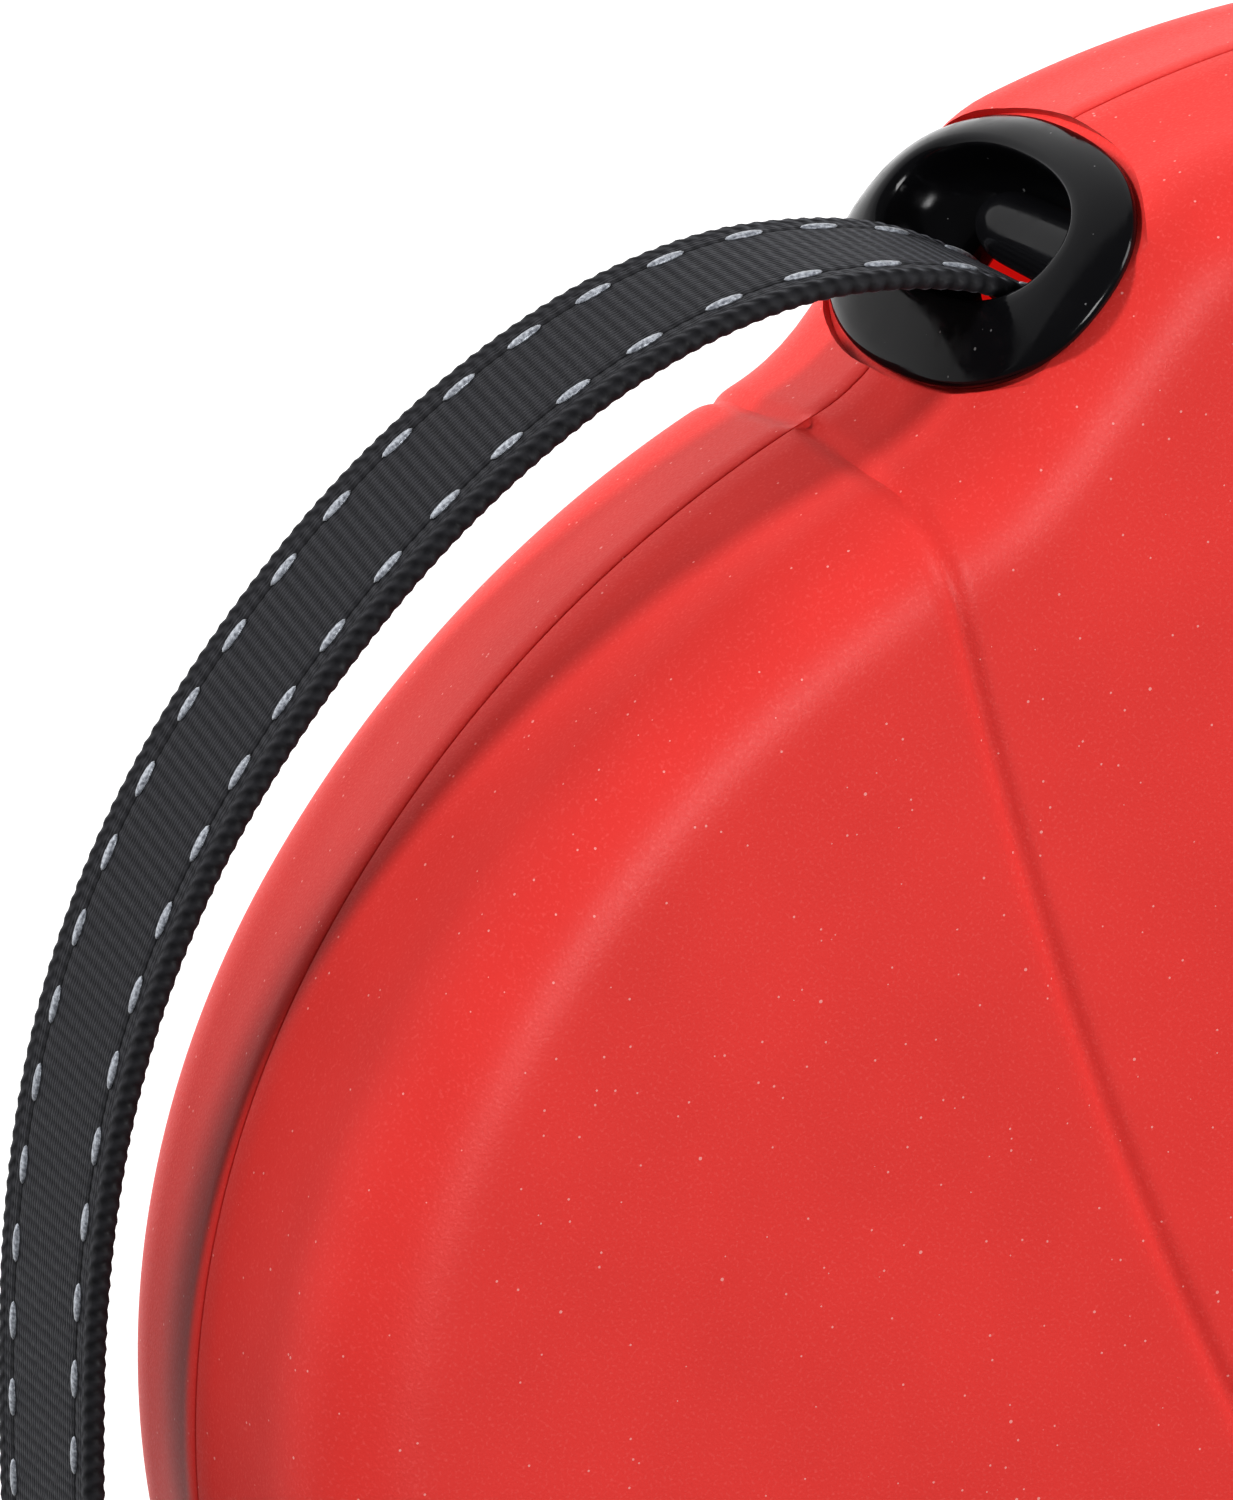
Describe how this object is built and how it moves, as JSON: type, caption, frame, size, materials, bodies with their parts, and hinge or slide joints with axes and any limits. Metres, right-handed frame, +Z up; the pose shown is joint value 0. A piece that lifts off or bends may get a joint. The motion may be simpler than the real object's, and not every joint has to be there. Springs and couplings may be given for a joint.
{
  "type": "retractable leash",
  "caption": "Hand-held retractable tape leash: D-shaped casing with a finger hole, sprung reel, thumb brake with lock, oval tape nozzle and bolt snap.",
  "frame": {"origin": "where the reel's axis meets the flat side face that the casing lies on", "axes": "+Z up along the reel's axis out of the rest face, -X the way the tape leaves the nozzle, +Y towards the top of the handle"},
  "size_m": [0.185, 0.2055, 0.035],
  "materials": {
    "casing": "soft-touch coated, fine satin",
    "gloss_black": "polished moulding",
    "matte_black": "fine spark-eroded grain",
    "inner_black": "plain moulded acetal",
    "soft_black": "soft moulded rubber",
    "reel_plastic": "natural moulded plastic",
    "steel": "zinc-plated",
    "spring_steel": "blued spring steel",
    "chrome": "nickel-chrome plated die casting",
    "tape": "woven polyester tape with two rows of grey reflective yarn"
  },
  "bodies": {
    "casing": {"left_shell": "casing", "right_shell": "casing", "housing_screws": "steel", "grip_pad": "soft_black", "nozzle": "gloss_black", "guide_bar": "gloss_black", "axle": "steel", "thrust_washers": "steel", "brake_keeper": "inner_black", "brake_spring": "spring_steel", "tape_lead": "tape", "tape_free": "tape", "end_stopper": "soft_black", "tape_loop": "tape", "swivel_eye": "chrome"},
    "reel": {"reel": "reel_plastic", "reel_flange": "reel_plastic", "reel_screws": "steel", "mainspring": "spring_steel", "tape_coil": "tape"},
    "brake": {"brake_slider": "inner_black", "brake_button": "matte_black", "button_pin": "steel"},
    "lock": {"lock_slider": "matte_black"},
    "snap": {"hook_body": "chrome", "bolt_spring": "spring_steel"},
    "bolt": {"snap_bolt": "chrome"}
  },
  "joints": [
    {"name": "reel_spin", "type": "hinge", "parent": "casing", "child": "reel", "pos_m": [0, 0, 0.0175], "axis": [0, 0, 1], "continuous": true},
    {"name": "brake_press", "type": "slide", "parent": "casing", "child": "brake", "axis": [0.2588, -0.9659, 0], "range_m": [0, 0.004], "stiffness_N_per_m": 400, "springref_m": -0.002, "deforming": ["brake_spring"]},
    {"name": "lock_slide", "type": "slide", "parent": "casing", "child": "lock", "axis": [-0.9659, -0.2588, 0], "range_m": [0, 0.005]},
    {"name": "snap_swivel", "type": "hinge", "parent": "casing", "child": "snap", "pos_m": [0.072, -0.09, 0.0045], "axis": [1, 0, 0], "continuous": true},
    {"name": "bolt_pull", "type": "slide", "parent": "snap", "child": "bolt", "axis": [-1, 0, 0], "range_m": [0, 0.0075], "stiffness_N_per_m": 250, "springref_m": -0.003, "deforming": ["bolt_spring"]}
  ]
}
